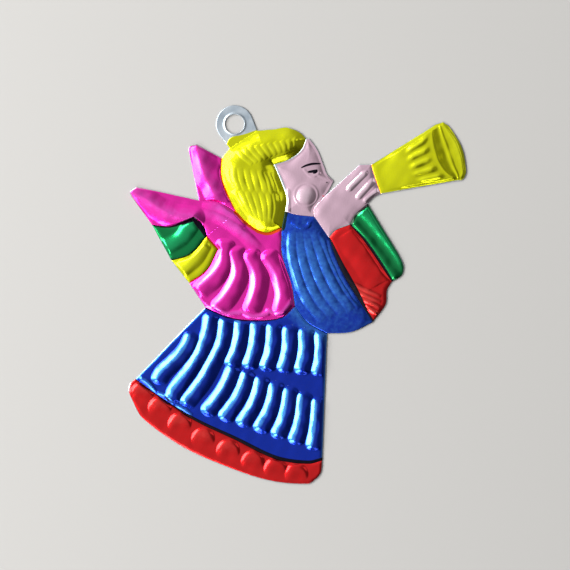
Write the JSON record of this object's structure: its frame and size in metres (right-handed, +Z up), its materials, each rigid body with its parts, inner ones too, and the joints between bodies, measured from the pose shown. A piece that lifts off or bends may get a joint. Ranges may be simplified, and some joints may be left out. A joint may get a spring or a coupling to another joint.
{
  "type": "hanging tin ornament",
  "caption": "Flat cut-out figure of a winged trumpeter, embossed in thin tin sheet, lacquered in bright colours, with a punched tab to hang it by.",
  "frame": {"origin": "middle of the hanging hole, half way through the flat sheet", "axes": "+Z up along the figure, +X towards the trumpet, +Y through the hole from the painted front to the bare back"},
  "size_m": [0.104, 0.0028, 0.1164],
  "materials": {
    "bare_tin": "bare rolled tinplate, fine scratches, bright cut edge",
    "yellow_lacquer": "clear yellow lacquer over bright tin",
    "pink_lacquer": "pale pink lacquer over bright tin",
    "magenta_lacquer": "clear magenta lacquer over bright tin",
    "blue_lacquer": "clear blue lacquer over bright tin",
    "green_lacquer": "clear green lacquer over bright tin",
    "red_lacquer": "clear red lacquer over bright tin",
    "black_ink": "black line ink, half gloss"
  },
  "bodies": {
    "root": {"tin_sheet": "bare_tin", "hair_lacquer": "yellow_lacquer", "face_lacquer": "pink_lacquer", "arm_lacquer": "pink_lacquer", "trumpet_lacquer": "yellow_lacquer", "far_wing_lacquer": "magenta_lacquer", "near_wing_lacquer": "magenta_lacquer", "green_feather_lacquer": "green_lacquer", "yellow_feather_lacquer": "yellow_lacquer", "bodice_lacquer": "blue_lacquer", "sleeve_lacquer": "red_lacquer", "cuff_lacquer": "green_lacquer", "skirt_lacquer": "blue_lacquer", "hem_lacquer": "red_lacquer", "brow_ink": "black_ink", "eye_ink": "black_ink", "nostril_ink": "black_ink", "mouth_ink": "red_lacquer", "sleeve_ink": "black_ink", "cuff_ink": "black_ink", "hem_ink": "black_ink", "feather_ink": "black_ink"}
  },
  "joints": []
}
